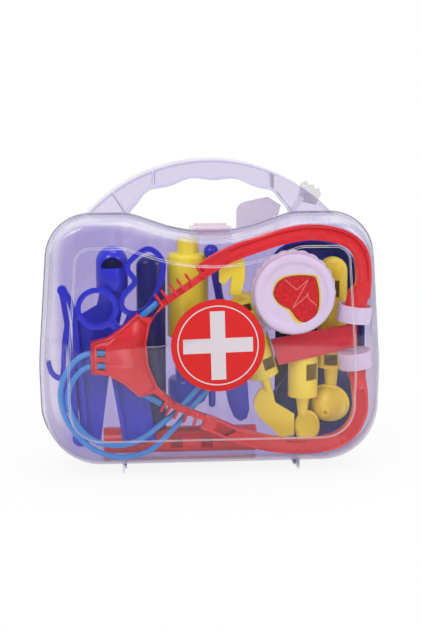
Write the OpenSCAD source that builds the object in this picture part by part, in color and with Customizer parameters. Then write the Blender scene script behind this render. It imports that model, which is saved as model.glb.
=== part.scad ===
// Toy doctor case: a clear carry case on two feet, packed with doctor's tools.
// The case stands upright. X runs to the right, -Y to the front, Z up.
// The origin is on the ground, below the middle of the seam between the shells.

/* [Case] */
// Width of the case at its widest
case_w = 260.4; // [230:0.1:300]
// Width of the case across its top corners, before they are rounded
case_top_w = 243; // [220:1:258]
// Width of the case across its bottom corners, before they are rounded
case_bottom_w = 257; // [225:1:260]
// Height of the widest place above the underside of the case
waist_h = 77.8; // [50:0.1:100]
// Height of the case body without the handle
body_h = 191.3; // [180:0.1:210]
// Radius of the bottom corners
bottom_r = 46; // [32:1:60]
// Radius of the top corners
top_r = 34; // [28:1:44]
// Half the width of the dip below the handle
dip_half = 61; // [54:1:70]
// Depth of the dip, before it is rounded
dip_depth = 21.5; // [16:0.5:26]
// Radius of the dip
dip_r = 120; // [90:1:140]
// Wall of the shells
wall = 1.6; // [1.2:0.1:2.4]
// Depth of the front shell in front of the seam
front_depth = 28.3; // [27.3:0.1:32]
// Depth of the rear shell behind the seam
rear_depth = 30.2; // [29.7:0.1:38]
// How far the window stands proud of the front
window_step = 1.5; // [0.8:0.1:2.5]
// Distance from the case outline to the edge of the window
window_inset = 22; // [18:0.5:26]
// Radius of the outer edges of the shells
edge_r = 6; // [4:0.5:7]
// How far the lips stand out at the seam
lip_w = 2; // [1.5:0.1:3]
// Thickness of each lip
lip_t = 1.8; // [1.2:0.1:2.4]
// Taper of the side walls over a shell's depth
draft = 1.6; // [0.5:0.1:2.5]
// Gap between the two lips
seam_gap = 0.3; // [0.2:0.05:0.5]

/* [Handle] */
// Radius of the outside of the handle
handle_r = 126; // [115:1:140]
// Height of the top of the handle above the ground
handle_top = 237; // [225:1:245]
// Height of the handle from its finger side to its top, at the middle
handle_t = 13.7; // [11:0.1:17]
// Radius of the finger side
grip_r = 110; // [90:1:150]
// Depth of the finger scallops, from their middle line
scallop = 1.2; // [0.4:0.1:2]
// Distance between two finger scallops
scallop_pitch = 33; // [26:1:36]
// Depth of the handle from front to back
handle_depth = 26; // [20:0.5:28]
// Wall of the handle
handle_wall = 1.8; // [1.4:0.1:2.4]

/* [Hinge and latch] */
// Clear height below the case
foot_h = 7.2; // [6.6:0.1:9]
// Distance from the middle to each hinge
hinge_x = 66.5; // [50:0.5:90]
// Length of each foot to the front or back
foot_len = 12; // [9:0.5:18]
// Thickness of each hinge ear
ear_t = 1.5; // [1.2:0.1:2.5]
// Radius of the hinge eyes
eye_r = 3.3; // [2.6:0.1:3.4]
// Radius of the hinge pins
pin_r = 1.2; // [1:0.1:1.6]
// Running clearance round every pin
run_gap = 0.05; // [0.02:0.01:0.09]
// Width of the latch plate
latch_w = 31; // [24:1:40]
// Thickness of the latch plate
latch_t = 2; // [1.5:0.1:3]
// How far the latch reaches behind the seam
latch_reach = 7.5; // [5:0.5:12]
// Distance from the seam to the latch pin
latch_pin_y = 10.5; // [9:0.5:13]
// Radius of the latch pin
latch_pin_r = 1.1; // [0.9:0.1:1.4]

/* [Sticker] */
// Diameter of the round sticker
sticker_d = 70; // [50:1:76]
// Thickness of the sticker
sticker_t = 0.3; // [0.2:0.05:0.6]
// Length of the arms of the cross, from end to end
cross_l = 52; // [30:1:52]
// Width of the arms of the cross
cross_w = 11; // [7:0.5:16]

/* [Stethoscope] */
// Width of the arms of the stethoscope frame
arm_w = 11.4; // [9:0.1:13]
// Thickness of the frame from front to back
frame_t = 6.4; // [5:0.1:6.6]
// Width of the edge rails of the arms
rail_w = 2.2; // [1.8:0.1:3.6]
// Diameter of the listening tubes
tube_d = 4.2; // [3.2:0.1:4.6]
// Diameter of the short tubes between the yoke and the arms
stub_d = 4.8; // [4:0.1:5]
// Diameter of the ear cups
cup_d = 25.8; // [20:0.1:26]
// Height of the ear cups
cup_h = 12.8; // [9:0.1:14]
// Diameter of the scalloped back of the chest piece
bell_d = 64; // [54:1:66]
// Diameter of the front ring of the chest piece
ring_d = 61; // [50:1:63]
// Thickness of the whole chest piece
chest_t = 15.9; // [12:0.1:16]

/* [Tools] */
// Diameter of the syringe barrel
barrel_d = 31.5; // [24:0.5:31.5]
// Length of the syringe barrel without its shoulder
barrel_l = 62; // [50:1:64]
// Travel of the syringe plunger
plunger_travel = 28; // [10:1:32]
// Diameter of the plunger rod
rod_d = 20; // [12:0.5:22]
// Outer diameter of the round scissor ring
ring_out_d = 32; // [26:0.5:34]
// Width of the scissor rings' strap
strap_t = 4; // [3:0.1:5]
// Thickness of each scissor half
scissor_t = 2.5; // [1.6:0.1:2.5]
// Length of the scissor blades
blade_l = 38; // [25:1:42]
// Diameter of the sleeves of the yellow instruments
sleeve_d = 23; // [18:0.5:23]
// Wall of the hollow tools
tool_wall = 1.6; // [1.2:0.1:2.2]
// Diameter of the hammer handle
grip_d = 16; // [12:0.5:17]
// Width of the hammer handle
grip_w = 22; // [17:0.5:23]
// Length of the straight part of the hammer handle
grip_l = 126; // [110:1:128]
// Diameter of the hammer head
head_d = 20; // [15:0.5:20]
// Length of the hammer head
head_l = 118; // [80:1:120]
// Height of the kidney dish from base to rim
dish_h = 14; // [10:0.5:14]
// Wall of the kidney dish
dish_wall = 1.5; // [1:0.1:2]

/* [Hidden] */
$fn = 64;

clear_rest = 0.3;                 // gap between a piece at rest and its seat
case_top = foot_h + body_h;
seam_y = seam_gap / 2;
front_in = -(front_depth + window_step) + wall;   // inside of the window
front_low = -front_depth + wall;                  // inside of the front round the window
rear_in = rear_depth - wall;                      // inside of the back

// Layers from front to back. Each one starts where the one before it ends.
frame_front = -23.7;
frame_back = frame_front + frame_t;
scissor_y = frame_back + clear_rest;
scissor_mid = scissor_y + scissor_t;
half_gap = 0.2;                                   // gap between the scissor halves
scissor_back_y = scissor_mid + half_gap + scissor_t;
tube_r = tube_d / 2;
tube_y = frame_front + 2.9;                       // depth of the tubes in the loop
chest_front = front_in + clear_rest;
chest_back = chest_front + chest_t;
strap_y = chest_back + clear_rest;
strap_thick = 2;
sleeve_r = sleeve_d / 2;
sleeve_y = strap_y + strap_thick + clear_rest + sleeve_r;
ear_gap = 0.2;                                    // gap between two ears
axle_z = eye_r;                                   // height of the hinge axis

// Outlines

function unit(v) = v / norm(v);
function left_of(v) = [-v[1], v[0]];
function mid_normal(a, b) = (a + b) / (1 + a * b);
function turn(a, b) = atan2(a[0] * b[1] - a[1] * b[0], a * b);

// Points of a polygon whose corners are rounded and whose sides are moved in by d.
// A hollow corner has a negative radius.
function rounded(corners, radii, steps, d) = let(n = len(corners)) [
    for (i = [0 : n - 1]) let(
        before = left_of(unit(corners[i] - corners[(i + n - 1) % n])),
        after = left_of(unit(corners[(i + 1) % n] - corners[i])),
        r = radii[i] - d,
        centre = corners[i] + (d + r) * mid_normal(before, after),
        start = atan2(before[1], before[0]),
        swing = turn(before, after))
    for (k = [0 : steps[i]]) let(a = start + swing * k / steps[i])
        centre - r * [cos(a), sin(a)]
];

half_w = case_w / 2;
case_corners = [[case_bottom_w / 2, foot_h], [half_w, foot_h + waist_h], [case_top_w / 2, case_top],
    [dip_half, case_top], [0, case_top - dip_depth], [-dip_half, case_top],
    [-case_top_w / 2, case_top], [-half_w, foot_h + waist_h], [-case_bottom_w / 2, foot_h]];
case_radii = [bottom_r, 220, top_r, 40, -dip_r, 40, top_r, 220, bottom_r];
case_steps = [9, 2, 8, 3, 10, 3, 8, 2, 9];
function case_outline(inset) = rounded(case_corners, case_radii, case_steps, inset);

// Lowest point of the dip
dip_angle = atan(dip_depth / dip_half);
dip_z = case_top - dip_depth + dip_r * (1 / cos(dip_angle) - 1);

// A solid through rings of equally many points. Each station is [y, inset].
module case_loft(stations) {
    rings = [for (s = stations) [for (p = case_outline(s[1])) [p[0], s[0], p[1]]]];
    skin(rings);
}

module skin(rings) {
    n = len(rings[0]);
    m = len(rings);
    polyhedron(points = [for (r = rings) each r],
        faces = concat(
            [[for (j = [n - 1 : -1 : 0]) j]],
            [for (i = [0 : m - 2], j = [0 : n - 1]) let(k = (j + 1) % n)
                each [[i * n + j, i * n + k, (i + 1) * n + k],
                      [i * n + j, (i + 1) * n + k, (i + 1) * n + j]]],
            [[for (j = [0 : n - 1]) (m - 1) * n + j]]),
        convexity = 8);
}

// Stations of a shell's rounded edge, from the side wall round to its face
function edge_stations(face, side, r, inset) = [for (a = [0 : 30 : 90])
    [side * (face - r + r * sin(a)), inset + r * (1 - cos(a))]];

edge_inset = lip_w + draft;
in_r = edge_r - wall;
function backwards(list) = [for (i = [len(list) - 1 : -1 : 0]) list[i]];

// A flat plate in the XZ plane, from depth y0 to y1
module plate(y0, y1) {
    translate([0, y1, 0]) rotate([90, 0, 0]) linear_extrude(y1 - y0) children();
}

// A flat plate in the YZ plane, from x0 to x1
module side_plate(x0, x1) {
    translate([x0, 0, 0]) rotate([90, 0, 90]) linear_extrude(x1 - x0) children();
}

// A round bar between two points
module bar(a, b, r) {
    v = b - a;
    translate(a) rotate([0, acos(v[2] / norm(v)), atan2(v[1], v[0])])
        cylinder(r = r, h = norm(v));
}

// Curves

// One point of the smooth curve through p1 and p2
function spline_point(p0, p1, p2, p3, t) =
    0.5 * (2 * p1 + (p2 - p0) * t + (2 * p0 - 5 * p1 + 4 * p2 - p3) * t * t
        + (3 * p1 - p0 - 3 * p2 + p3) * t * t * t);
// A smooth open curve through all points
function open_curve(p, steps) = let(n = len(p)) [
    for (i = [0 : n - 2], k = [0 : steps - 1])
        spline_point(p[max(i - 1, 0)], p[i], p[i + 1], p[min(i + 2, n - 1)], k / steps),
    p[n - 1]
];
// A smooth closed curve through all points
function closed_curve(p, steps) = let(n = len(p)) [
    for (i = [0 : n - 1], k = [0 : steps - 1])
        spline_point(p[(i + n - 1) % n], p[i], p[(i + 1) % n], p[(i + 2) % n], k / steps)
];
function direction(path, i) = unit(path[min(i + 1, len(path) - 1)] - path[max(i - 1, 0)]);
// An outline that runs along a path, from offset a on its left to offset b
function strip(path, a, b) = concat(
    [for (i = [0 : len(path) - 1]) path[i] + a * left_of(direction(path, i))],
    [for (i = [len(path) - 1 : -1 : 0]) path[i] + b * left_of(direction(path, i))]);
// A closed outline moved in by d
function shrink(loop, d) = let(n = len(loop)) [
    for (i = [0 : n - 1])
        loop[i] + d * left_of(unit(loop[(i + 1) % n] - loop[(i + n - 1) % n]))
];

// Case

handle_mid = handle_top - handle_r;
grip_top = handle_top - handle_t;
handle_foot = case_top - lip_w - wall;
handle_half = sqrt(handle_r * handle_r - pow(handle_foot + 1 - handle_mid, 2));
grip_half = 45;
function grip_z(x) = grip_top - x * x / (2 * grip_r) - scallop * cos(360 * (x - 2) / scallop_pitch);
grip_edge = concat([[62, handle_foot], [60, case_top + 0.5], [54.5, case_top + 6.5], [50, grip_z(45) - 3]],
    [for (x = [grip_half : -3 : -grip_half]) [x, grip_z(x)]],
    [[-50, grip_z(45) - 3], [-54.5, case_top + 6.5], [-60, case_top + 0.5], [-62, handle_foot]]);
handle_swing = asin(handle_half / handle_r);
function handle_arc(r, steps) = [for (k = [0 : steps]) let(a = -handle_swing + 2 * handle_swing * k / steps)
    [r * sin(a), handle_mid + r * cos(a)]];

module handle_outline() {
    polygon(concat([[-handle_half, handle_foot]], handle_arc(handle_r, 30),
        [[handle_half, handle_foot]], grip_edge));
}

module handle_hollow() {
    inner_edge = [for (i = [0 : len(grip_edge) - 1])
        grip_edge[i] - handle_wall * left_of(direction(grip_edge, i))];
    polygon(concat(handle_arc(handle_r - handle_wall, 30), inner_edge));
}

handle_back = 2 + handle_depth;
rib_base = case_top + 1.5;
module handle() {
    plate(2, handle_back) difference() {
        handle_outline();
        handle_hollow();
    }
    plate(handle_back - handle_wall, handle_back) handle_outline();
    plate(2, handle_back) intersection() {
        handle_outline();
        union() {
            for (x = [-43, 46]) translate([x, rib_base]) square([handle_wall, handle_top - rib_base]);
            for (s = [-1, 1]) polygon([[s * 64, 197], [s * 62, 197], [s * 74, 216], [s * 76, 216]]);
        }
    }
}

// A hinge ear that is also a foot. side is 1 behind the seam and -1 in front of it.
foot_root = foot_h + lip_w + wall;
foot_start = seam_y + 0.25;
module foot_ear(side) {
    difference() {
        union() {
            polygon([[0, 0], [side * foot_len, 0], [side * (foot_len + 3), foot_root],
                [side * foot_start, foot_root], [side * foot_start, axle_z]]);
            translate([0, axle_z]) circle(r = eye_r);
        }
        translate([0, axle_z]) circle(r = pin_r + run_gap);
    }
}

// The ears of one shell. They lie on the sides of the hinges that face along side.
module foot_ears(side) {
    near = ear_gap / 2;
    for (s = [-1, 1]) let(from = s * side > 0 ? -near - ear_t : near)
        side_plate(s * hinge_x + from, s * hinge_x + from + ear_t) foot_ear(side);
}

module rear_shell() color([0.80, 0.77, 0.92, 0.5]) {
    inset = edge_inset;
    difference() {
        union() {
            case_loft(concat([[seam_y, 0], [seam_y + lip_t, 0], [seam_y + lip_t, lip_w]],
                edge_stations(rear_depth, 1, edge_r, inset)));
            handle();
            foot_ears(1);
        }
        case_loft(concat([[-1, lip_w + wall], [seam_y + lip_t, lip_w + wall]],
            edge_stations(rear_in, 1, in_r, inset + wall)));
    }
}

module front_shell() color([0.93, 0.93, 0.97, 0.35]) {
    outer = concat([[-front_depth - window_step, window_inset + 1.2],
            [-front_depth, window_inset]],
        backwards(edge_stations(front_depth, -1, edge_r, edge_inset)),
        [[-seam_y - lip_t, lip_w], [-seam_y - lip_t, 0], [-seam_y, 0]]);
    inner = concat([[front_in, window_inset + 2], [front_low, window_inset + 0.8]],
        backwards(edge_stations(-front_low, -1, in_r, edge_inset + wall)),
        [[-seam_y - lip_t, lip_w + wall], [1, lip_w + wall]]);
    difference() {
        union() {
            case_loft(outer);
            foot_ears(-1);
            for (s = [-1, 1]) side_plate(s * 12 - 1.1, s * 12 + 1.1) latch_lug();
        }
        case_loft(inner);
    }
}

latch_pin_z = dip_z + 1.9;
module latch_lug() {
    difference() {
        union() {
            translate([-latch_pin_y, latch_pin_z]) circle(r = 2.6);
            polygon([[-latch_pin_y - 2.6, latch_pin_z], [-latch_pin_y + 2.6, latch_pin_z],
                [-latch_pin_y + 4, dip_z - 3.4], [-latch_pin_y - 4, dip_z - 3.4]]);
        }
        translate([-latch_pin_y, latch_pin_z]) circle(r = latch_pin_r + run_gap);
    }
}

latch_low = dip_z + pow(latch_w / 2, 2) / (2 * dip_r) + 0.4;
module latch() color([0.93, 0.88, 0.92, 0.6]) {
    difference() {
        union() {
            translate([-latch_w / 2, 3.5 - latch_pin_y, latch_low])
                cube([latch_w, latch_pin_y - 3.5 + latch_reach, latch_t]);
            translate([-10.6, -latch_pin_y, latch_low]) cube([21.2, 4, latch_t - 0.3]);
            translate([-10.6, -latch_pin_y, latch_pin_z]) rotate([0, 90, 0])
                cylinder(r = 2.2, h = 21.2);
            translate([-latch_w / 2 + 3, latch_reach - 3, latch_low + latch_t - 0.01])
                cube([latch_w - 6, 1.2, 2]);
        }
        translate([-20, -latch_pin_y, latch_pin_z]) rotate([0, 90, 0])
            cylinder(r = latch_pin_r + run_gap, h = 40);
    }
}

module latch_pin() color([0.85, 0.83, 0.88]) {
    translate([-13.1, -latch_pin_y, latch_pin_z]) rotate([0, 90, 0])
        cylinder(r = latch_pin_r, h = 26.2);
}

module hinge_pin(side) color([0.85, 0.83, 0.88]) {
    translate([side * hinge_x, 0, axle_z]) rotate([0, 90, 0])
        cylinder(r = pin_r, h = 2 * ear_t + ear_gap, center = true);
}
module hinge_pin_left() hinge_pin(-1);
module hinge_pin_right() hinge_pin(1);

// Clear plate that stands on the back of the dip, beside the latch
function dip_floor(x) = dip_z - lip_w + x * x / (2 * dip_r);
module rear_tab() color([0.80, 0.77, 0.92, 0.6]) {
    top = [[55, 201.5], [45, 208], [28, 204.5], [24, 203], [21.6, 200], [21, 197]];
    plate(15, 16.4) polygon(concat([for (x = [21 : 4 : 53]) [x, dip_floor(x)]], top));
}

// Clear tab with a saw edge behind the right end of the handle
module edge_tab() color([0.93, 0.92, 0.95, 0.6]) {
    plate(handle_back + 0.1, handle_back + 1.1)
        polygon([[70, 203], [84, 200], [88, 208], [86.5, 213], [83, 212.5], [82, 216.5], [79, 215],
            [76.5, 219], [72, 217]]);
}

sticker_at = [3.3, 102.7];
sticker_back = -front_depth - window_step;
module sticker_disc() color([0.88, 0.16, 0.15]) {
    plate(sticker_back - sticker_t, sticker_back) translate(sticker_at) circle(d = sticker_d);
}
module sticker_emblem() color([0.88, 0.85, 0.90]) {
    plate(sticker_back - sticker_t - 0.12, sticker_back - sticker_t) translate(sticker_at) {
        difference() {
            circle(d = 60.6);
            circle(d = 58.8);
        }
        rotate(1.5) square([cross_l, cross_w], center = true);
        rotate(1.5) square([cross_w, cross_l], center = true);
    }
}

// Stethoscope

upper_path = [[-40.5, 134.7], [-30, 142.3], [-18.5, 150], [-1, 162], [14, 170], [35, 177.5],
    [50, 182], [68, 185.2], [83, 184.8], [96.6, 181.4], [106.5, 175], [111.6, 165.3], [113, 150],
    [112, 136]];
lower_path = [[-37.5, 56.5], [-28, 50.7], [-14, 44.8], [0, 39.6], [17, 31.6], [36, 25.5], [52, 22.3],
    [68, 21.2], [84, 22.2], [97, 26], [107, 34.5], [112.3, 47], [112.4, 60], [110.5, 73]];
yoke_outline = [[-90.9, 105], [-79.2, 107.8], [-69.6, 113.7], [-56.2, 126.3], [-53.3, 123.8],
    [-44.8, 123], [-39.4, 131.4], [-37.5, 133], [-36, 131.2], [-41.5, 127], [-46.7, 118.5], [-49.6, 104],
    [-48.2, 86], [-41.4, 69.5], [-28, 57.2], [-30, 54.6], [-44.3, 65.4], [-54.9, 62.6],
    [-66.3, 72.6], [-77.8, 79.4], [-90.9, 81]];
// Outline of the yoke's body, whose face lies a little deeper than its rim
yoke_face = [[-90.9, 105], [-79.2, 107.8], [-69.6, 113.7], [-56.2, 126.3], [-53.3, 123.8], [-46.7, 118.5],
    [-49.6, 104], [-48.2, 86], [-41.4, 69.5], [-44.3, 65.4], [-54.9, 62.6], [-66.3, 72.6], [-77.8, 79.4],
    [-90.9, 81]];
yoke_rim = 1.8;
yoke_sink = 0.7;
tube_ports = [96.5, 86.7];
stub_ends = [[[-54.2, tube_y, 122.6], [-41, tube_y, 134.2]], [[-52, tube_y, 63.9], [-39, tube_y, 56.6]]];
port_x = yoke_outline[0][0];

// An arm whose first part is a comb: teeth across it that stand on a spine along its inner side
comb_steps = 10;
comb_spine = 0.42;
tooth_t = 1.7;
arm_sink = 1;   // depth of the channel between the rails
// side is 1 where the inner side lies left of the path, and -1 where it lies right of it
module arm(path, side) {
    curve = open_curve(path, 4);
    half = arm_w / 2;
    spine = comb_spine * arm_w;
    plain = [for (i = [comb_steps : len(curve) - 1]) curve[i]];
    comb = [for (i = [0 : comb_steps + 1]) curve[i]];
    plate(frame_front, frame_back) {
        polygon(strip(plain, half, half - rail_w));
        polygon(strip(plain, rail_w - half, -half));
    }
    plate(frame_front + arm_sink, frame_back - 1) polygon(strip(plain, half - 0.5, 0.5 - half));
    plate(frame_front + 0.8, frame_back - 0.4)
        polygon(side > 0 ? strip(comb, half, half - spine) : strip(comb, spine - half, -half));
    for (i = [0 : 2 : comb_steps]) let(along = direction(curve, i)) plate(frame_front, frame_back)
        polygon(strip([curve[i] + 0.5 * along, curve[i] + (0.5 + tooth_t) * along], half - 0.2, 0.2 - half));
}

cup_r = cup_d / 2;
cup_y = frame_front + 10.5;
cup_floor = 2.8;
cup_dish = 1.2;
spigot_r = 8.6;
cup_side = 18.4;
// Half width of the case at a height above its widest place
function side_x(z) = let(waist_z = foot_h + waist_h)
    half_w - (half_w - case_top_w / 2) * (z - waist_z) / (case_top - waist_z);
upper_cup_at = [side_x(116 + cup_h / 2) - cup_side - 1.4, cup_y, 116];
upper_cup_tilt = 6;
elbow_at = upper_path[len(upper_path) - 1] + [0.4, 8];
lower_elbow_at = lower_path[len(lower_path) - 1] + [0.6, -4];
lower_cup_at = [side_x(93.2) - cup_side - 2.6, cup_y, 93.2];
lower_cup_tilt = -8;

module steth_frame() color([0.86, 0.10, 0.14]) {
    difference() {
        union() {
            plate(frame_front, frame_back) polygon(yoke_outline);
            arm(upper_path, -1);
            arm(lower_path, 1);
            hull() {
                translate(upper_cup_at) rotate([0, upper_cup_tilt, 0]) translate([0, 0, cup_floor + 0.2])
                    cylinder(r1 = spigot_r, r2 = spigot_r - 1.6, h = 20);
                plate(frame_front, frame_back) translate(elbow_at) circle(r = arm_w / 2 - 0.4);
            }
            hull() {
                translate(lower_cup_at) rotate([180, lower_cup_tilt, 0]) translate([0, 0, cup_floor + 0.2])
                    cylinder(r1 = spigot_r, r2 = spigot_r - 1.6, h = 15);
                plate(frame_front, frame_back) translate(lower_elbow_at) circle(r = arm_w / 2 - 0.4);
            }
        }
        plate(frame_front - 1, frame_front + yoke_sink) polygon(shrink(yoke_face, -yoke_rim));
        for (z = tube_ports) translate([port_x + 4.5, frame_front - 1, z - 3.2]) cube([6.2, 5, 6.4]);
        for (ends = stub_ends) bar(ends[0], ends[1], stub_d / 2 + run_gap);
    }
}

module ear_cup() {
    difference() {
        cylinder(r = cup_r, h = cup_h);
        translate([0, 0, cup_floor]) cylinder(r = cup_r - tool_wall, h = cup_h);
        translate([0, 0, -1]) cylinder(r = cup_r - tool_wall, h = 1 + cup_dish);
    }
}
module ear_cup_upper() color([0.88, 0.84, 0.93])
    translate(upper_cup_at) rotate([0, upper_cup_tilt, 0]) ear_cup();
module ear_cup_lower() color([0.88, 0.84, 0.93])
    translate(lower_cup_at) rotate([180, lower_cup_tilt, 0]) ear_cup();

module stub_tube(ends) color([0.27, 0.56, 0.83]) bar(ends[0], ends[1], stub_d / 2);
module stub_tube_upper() stub_tube(stub_ends[0]);
module stub_tube_lower() stub_tube(stub_ends[1]);

// The free tubes. Their routes are chosen by hand, end to end.
deep_y = tube_y + 6;
sink = [tube_y, tube_y + 1.5, tube_y + 4.5];   // depths on the way behind the lower arm
outer_route = [[port_x, tube_y, 96.5], [-98, tube_y, 94], [-105.5, tube_y, 87.5], [-111.5, tube_y, 77],
    [-114, tube_y, 65], [-112.5, tube_y, 53], [-107.5, tube_y, 41], [-99.5, tube_y, 30],
    [-89, tube_y, 21.5], [-78, tube_y, 17], [-67.5, tube_y, 15.4], [-56, tube_y, 17],
    [-45, sink[1], 21.5], [-35, sink[2], 29.5], [-25, deep_y, 40], [-14, deep_y, 53], [-2, deep_y, 66.5],
    [10, deep_y, 79.5], [22, deep_y, 93], [35.6, deep_y, 107]];
inner_route = [[port_x, tube_y, 86.7], [-97.5, tube_y, 83.5], [-103.5, tube_y, 77], [-107.5, tube_y, 68],
    [-108.4, tube_y, 58], [-105.4, tube_y, 48.2], [-100.2, tube_y, 39], [-93, tube_y, 31],
    [-83, tube_y, 26.3], [-72, tube_y, 24.6], [-61, tube_y, 26.2], [-50.5, sink[1], 31],
    [-41, sink[2], 37.5], [-31, deep_y, 45.5], [-19, deep_y, 57], [-7, deep_y, 71], [5, deep_y, 84.5],
    [17, deep_y, 97.8], [31, deep_y, 111.2]];

function ring_at(centre, along, r, sides) = let(
        u = unit(cross(along, [0, 1, 0])),
        v = cross(u, along))
    [for (k = [0 : sides - 1]) centre + r * (cos(360 * k / sides) * u + sin(360 * k / sides) * v)];
module tube(route) {
    path = open_curve(route, 1);
    last = len(path) - 1;
    skin([for (i = [0 : last]) ring_at(path[i],
        i == 0 ? [-1, 0, 0] : i == last ? chest_dir : direction(path, i), tube_r, 8)]);
}
module tube_outer() color([0.27, 0.56, 0.83]) tube(outer_route);
module tube_inner() color([0.27, 0.56, 0.83]) tube(inner_route);

chest_at = [60.8, 0, 139.6];
chest_dir = unit([27.4, 0, 30.4]);
bell_t = 7.6;
module on_chest(y) translate([chest_at[0], y, chest_at[2]]) rotate([90, 0, 0]) children();

lobe_r = 6.5;
lobe_pitch = 15;
lobe_steps = 4;
// Outline of the scalloped disc: the outer arcs of a ring of round lobes
module scallops() {
    at = bell_d / 2 - lobe_r;
    a = lobe_pitch / 2;
    notch = at * cos(a) + sqrt(lobe_r * lobe_r - pow(at * sin(a), 2));
    swing = atan2(notch * sin(a), notch * cos(a) - at);
    polygon([for (k = [0 : lobe_pitch : 359], i = [-lobe_steps : 2 : lobe_steps - 1])
        let(b = k + swing * i / lobe_steps) [at * cos(k) + lobe_r * cos(b), at * sin(k) + lobe_r * sin(b)]]);
}
module chest_bell() color([0.87, 0.83, 0.93])
    on_chest(chest_back) linear_extrude(bell_t) scallops();
ring_t = chest_t - bell_t;
ring_sink = 1.8;   // depth of the face inside the rim
module chest_ring() color([0.89, 0.85, 0.95]) {
    r = ring_d / 2;
    on_chest(chest_back - bell_t) rotate_extrude()
        polygon([[0, 0], [r - 1.5, 0], [r, 1.5], [r, ring_t - 2.5], [r - 0.8, ring_t - 0.8],
            [r - 2.5, ring_t], [r - 6, ring_t - 0.4], [r - 8, ring_t - ring_sink], [0, ring_t - ring_sink]]);
}
// Heart whose point is up to the right
module heart_shape(grow) {
    r = 10.6;
    rotate(-55) {
        for (s = [-1, 1]) translate([s * 7.6, -7]) circle(r = r + grow);
        polygon([[-17.2 - grow, -2.4], [0, 21 + grow * 1.6], [17.2 + grow, -2.4], [12, -14], [-12, -14]]);
    }
}
module heart_label() color([0.88, 0.12, 0.12])
    on_chest(chest_front + ring_sink) linear_extrude(0.4) heart_shape(0.9);
pair_half = 3.05;   // half the distance between the two tubes in the connector
module tube_connector() color([0.88, 0.84, 0.93]) {
    tip = chest_at - 41 * chest_dir;
    side = cross(chest_dir, [0, 1, 0]);
    base = chest_at - (bell_d / 2 + 0.4) * chest_dir;
    for (s = [-1, 1]) bar([tip[0], deep_y, tip[2]] + s * pair_half * side,
        [base[0], deep_y, base[2]] + s * pair_half * side, tube_r + 0.6);
    for (d = [33.2, 38.4]) translate([chest_at[0], deep_y, chest_at[2]] - d * chest_dir)
        rotate([0, 90 - atan2(chest_dir[2], chest_dir[0]), 0])
            translate([-6.6, -2.8, -0.8]) cube([13.2, 5.6, 1.6]);
}

// Tools

syringe_r = barrel_d / 2;
syringe_x = -16.4;
syringe_y = rear_in - clear_rest - syringe_r;
barrel_top = 164;
barrel_low = barrel_top - barrel_l;
rod_r = rod_d / 2;
module syringe_barrel() color([0.93, 0.79, 0.20]) translate([syringe_x, syringe_y, 0]) {
    bore = rod_r + 2.4;
    rotate_extrude() polygon([[bore, barrel_low], [syringe_r, barrel_low], [syringe_r, barrel_top - 1],
        [syringe_r - 0.5, barrel_top + 0.6], [syringe_r - 1.6, barrel_top + 1.8],
        [syringe_r - 3.2, barrel_top + 2.4], [8.2, barrel_top + 2.6],
        [8.2, barrel_top + 12.5], [7.6, barrel_top + 13.5], [3, barrel_top + 13.5],
        [3, barrel_top - 3], [bore, barrel_top - 5]]);
}
module syringe_plunger() color([0.15, 0.18, 0.68]) translate([syringe_x, syringe_y, 0]) {
    bore = rod_r + 2.4;
    pad_top = barrel_low - plunger_travel - 6;
    rotate_extrude() polygon([[0, barrel_top - 8 - plunger_travel], [0, pad_top - 22], [8, pad_top - 21],
        [13, pad_top - 18], [15.6, pad_top - 12], [15.6, pad_top - 2], [14.6, pad_top],
        [rod_r, pad_top], [rod_r, barrel_top - 14 - plunger_travel],
        [bore - 0.05, barrel_top - 14 - plunger_travel], [bore - 0.05, barrel_top - 8 - plunger_travel]]);
}

scissor_pivot = [-66, 110];
rivet_r = 2;
ring_centre = [-85.8, 129.1];
module scissor_blade(angle) {
    translate(scissor_pivot) rotate(angle)
        polygon([[-5, -3.6], [blade_l * 0.7, -4], [blade_l, -0.6], [blade_l, 0.6], [blade_l * 0.6, 3],
            [-5, 3.6]]);
    translate(scissor_pivot) circle(r = 6);
}
module scissor_front() color([0.16, 0.18, 0.75]) plate(scissor_y, scissor_mid) difference() {
    union() {
        translate(ring_centre) difference() {
            circle(d = ring_out_d);
            circle(d = ring_out_d - 2 * strap_t);
        }
        polygon(strip(open_curve([[-76.2, 119.8], [-71, 113.5], scissor_pivot], 2), 3.2, -3.2));
        scissor_blade(-76);
    }
    translate(scissor_pivot) circle(r = rivet_r + run_gap);
}
loop_route = [[-49, 173], [-60.5, 164.5], [-62.6, 157.5], [-57.5, 148.5], [-66, 138], [-67, 129.5],
    [-60.5, 124.5], [-50, 127.5], [-43, 137.5], [-38.2, 148.8], [-36.2, 161.5], [-41, 170]];
module scissor_back() color([0.16, 0.18, 0.75]) plate(scissor_mid + half_gap, scissor_back_y) difference() {
    loop = closed_curve(loop_route, 4);
    union() {
        difference() {
            polygon(shrink(loop, -strap_t / 2));
            polygon(shrink(loop, strap_t / 2));
        }
        polygon(strip([[-58.5, 126], scissor_pivot], 3.4, -3.4));
        scissor_blade(-96);
    }
    translate(scissor_pivot) circle(r = rivet_r + run_gap);
}
module scissor_rivet() color([0.20, 0.22, 0.80])
    plate(scissor_y, scissor_back_y) translate(scissor_pivot) circle(r = rivet_r);

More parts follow.
